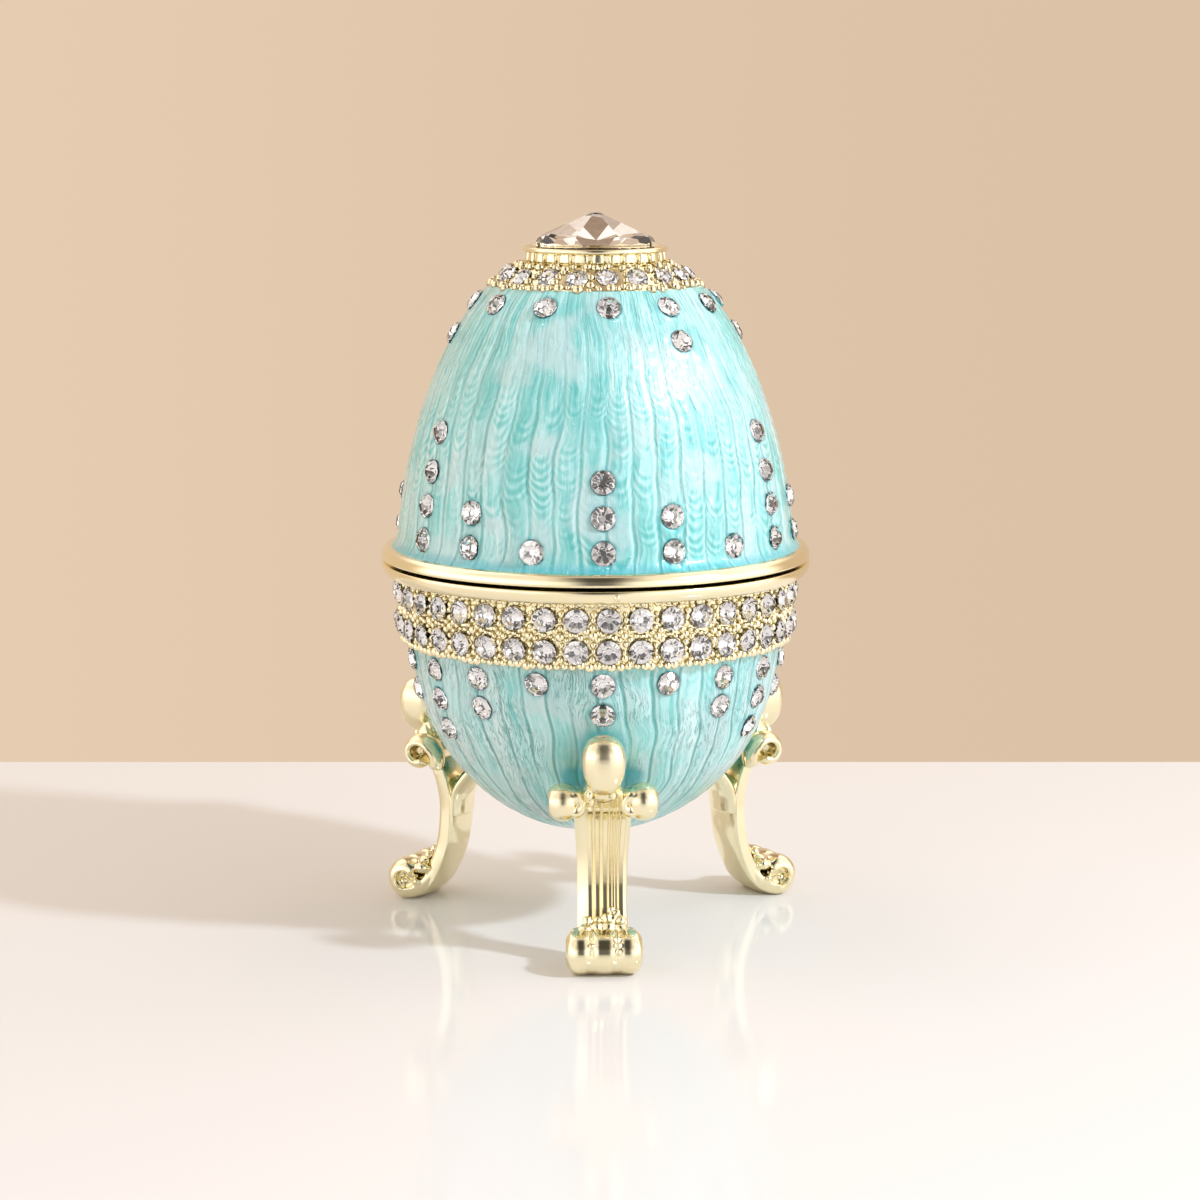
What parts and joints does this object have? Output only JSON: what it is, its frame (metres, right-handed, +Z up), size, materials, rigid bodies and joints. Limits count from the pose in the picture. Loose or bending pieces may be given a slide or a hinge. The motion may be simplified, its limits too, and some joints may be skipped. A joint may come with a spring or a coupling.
{
  "type": "egg trinket box",
  "caption": "Enamelled egg-shaped trinket box with a hinged lid, gilt rims, set clear stones and a pointed crown gem, standing on cast scroll legs.",
  "frame": {"origin": "on the egg's axis at the level of the table that the feet stand on", "axes": "+Z up along the egg's axis, -Y towards the front leg, +Y towards the hinge, +X to the right seen from the front"},
  "size_m": [0.0418, 0.0462, 0.07],
  "materials": {
    "gilt_metal": "polished pale gold plate on a zinc alloy casting",
    "enamel": "glossy pearly turquoise enamel over an engine-turned ground",
    "stone": "clear faceted glass stone with a foil back",
    "gem": "clear faceted glass with a slight warm tint",
    "magnet": "nickel-plated magnet"
  },
  "bodies": {
    "base": {"base_casting": "gilt_metal", "base_enamel": "enamel", "base_magnet": "magnet", "hinge_pin": "gilt_metal", "band_upper_stones": "stone", "band_lower_stones": "stone", "base_drop_01": "stone", "base_drop_02": "stone", "base_drop_03": "stone", "base_drop_04": "stone", "base_drop_05": "stone", "base_drop_06": "stone", "base_drop_07": "stone", "base_drop_08": "stone", "base_drop_09": "stone", "base_drop_10": "stone", "base_drop_11": "stone", "base_drop_12": "stone", "base_drop_13": "stone", "base_drop_14": "stone", "base_drop_15": "stone", "base_drop_16": "stone", "base_drop_17": "stone", "base_drop_18": "stone", "leg_front": "gilt_metal", "leg_rear_right": "gilt_metal", "leg_rear_left": "gilt_metal"},
    "lid": {"lid_casting": "gilt_metal", "lid_enamel": "enamel", "lid_magnet": "magnet", "lid_drop_01": "stone", "lid_drop_02": "stone", "lid_drop_03": "stone", "lid_drop_04": "stone", "lid_drop_05": "stone", "lid_drop_06": "stone", "lid_drop_07": "stone", "lid_drop_08": "stone", "lid_drop_09": "stone", "lid_drop_10": "stone", "lid_drop_11": "stone", "lid_drop_12": "stone", "lid_drop_13": "stone", "lid_drop_14": "stone", "lid_drop_16": "stone", "lid_drop_17": "stone", "lid_drop_18": "stone", "lid_shoulder_stones": "stone", "collar_stones": "stone", "crown_bezel": "gilt_metal", "crown_gem": "gem"}
  },
  "joints": [
    {"name": "lid_hinge", "type": "hinge", "parent": "base", "child": "lid", "pos_m": [0, 0.0224, 0.0365], "axis": [-1, 0, 0], "range_deg": [0, 90]}
  ]
}
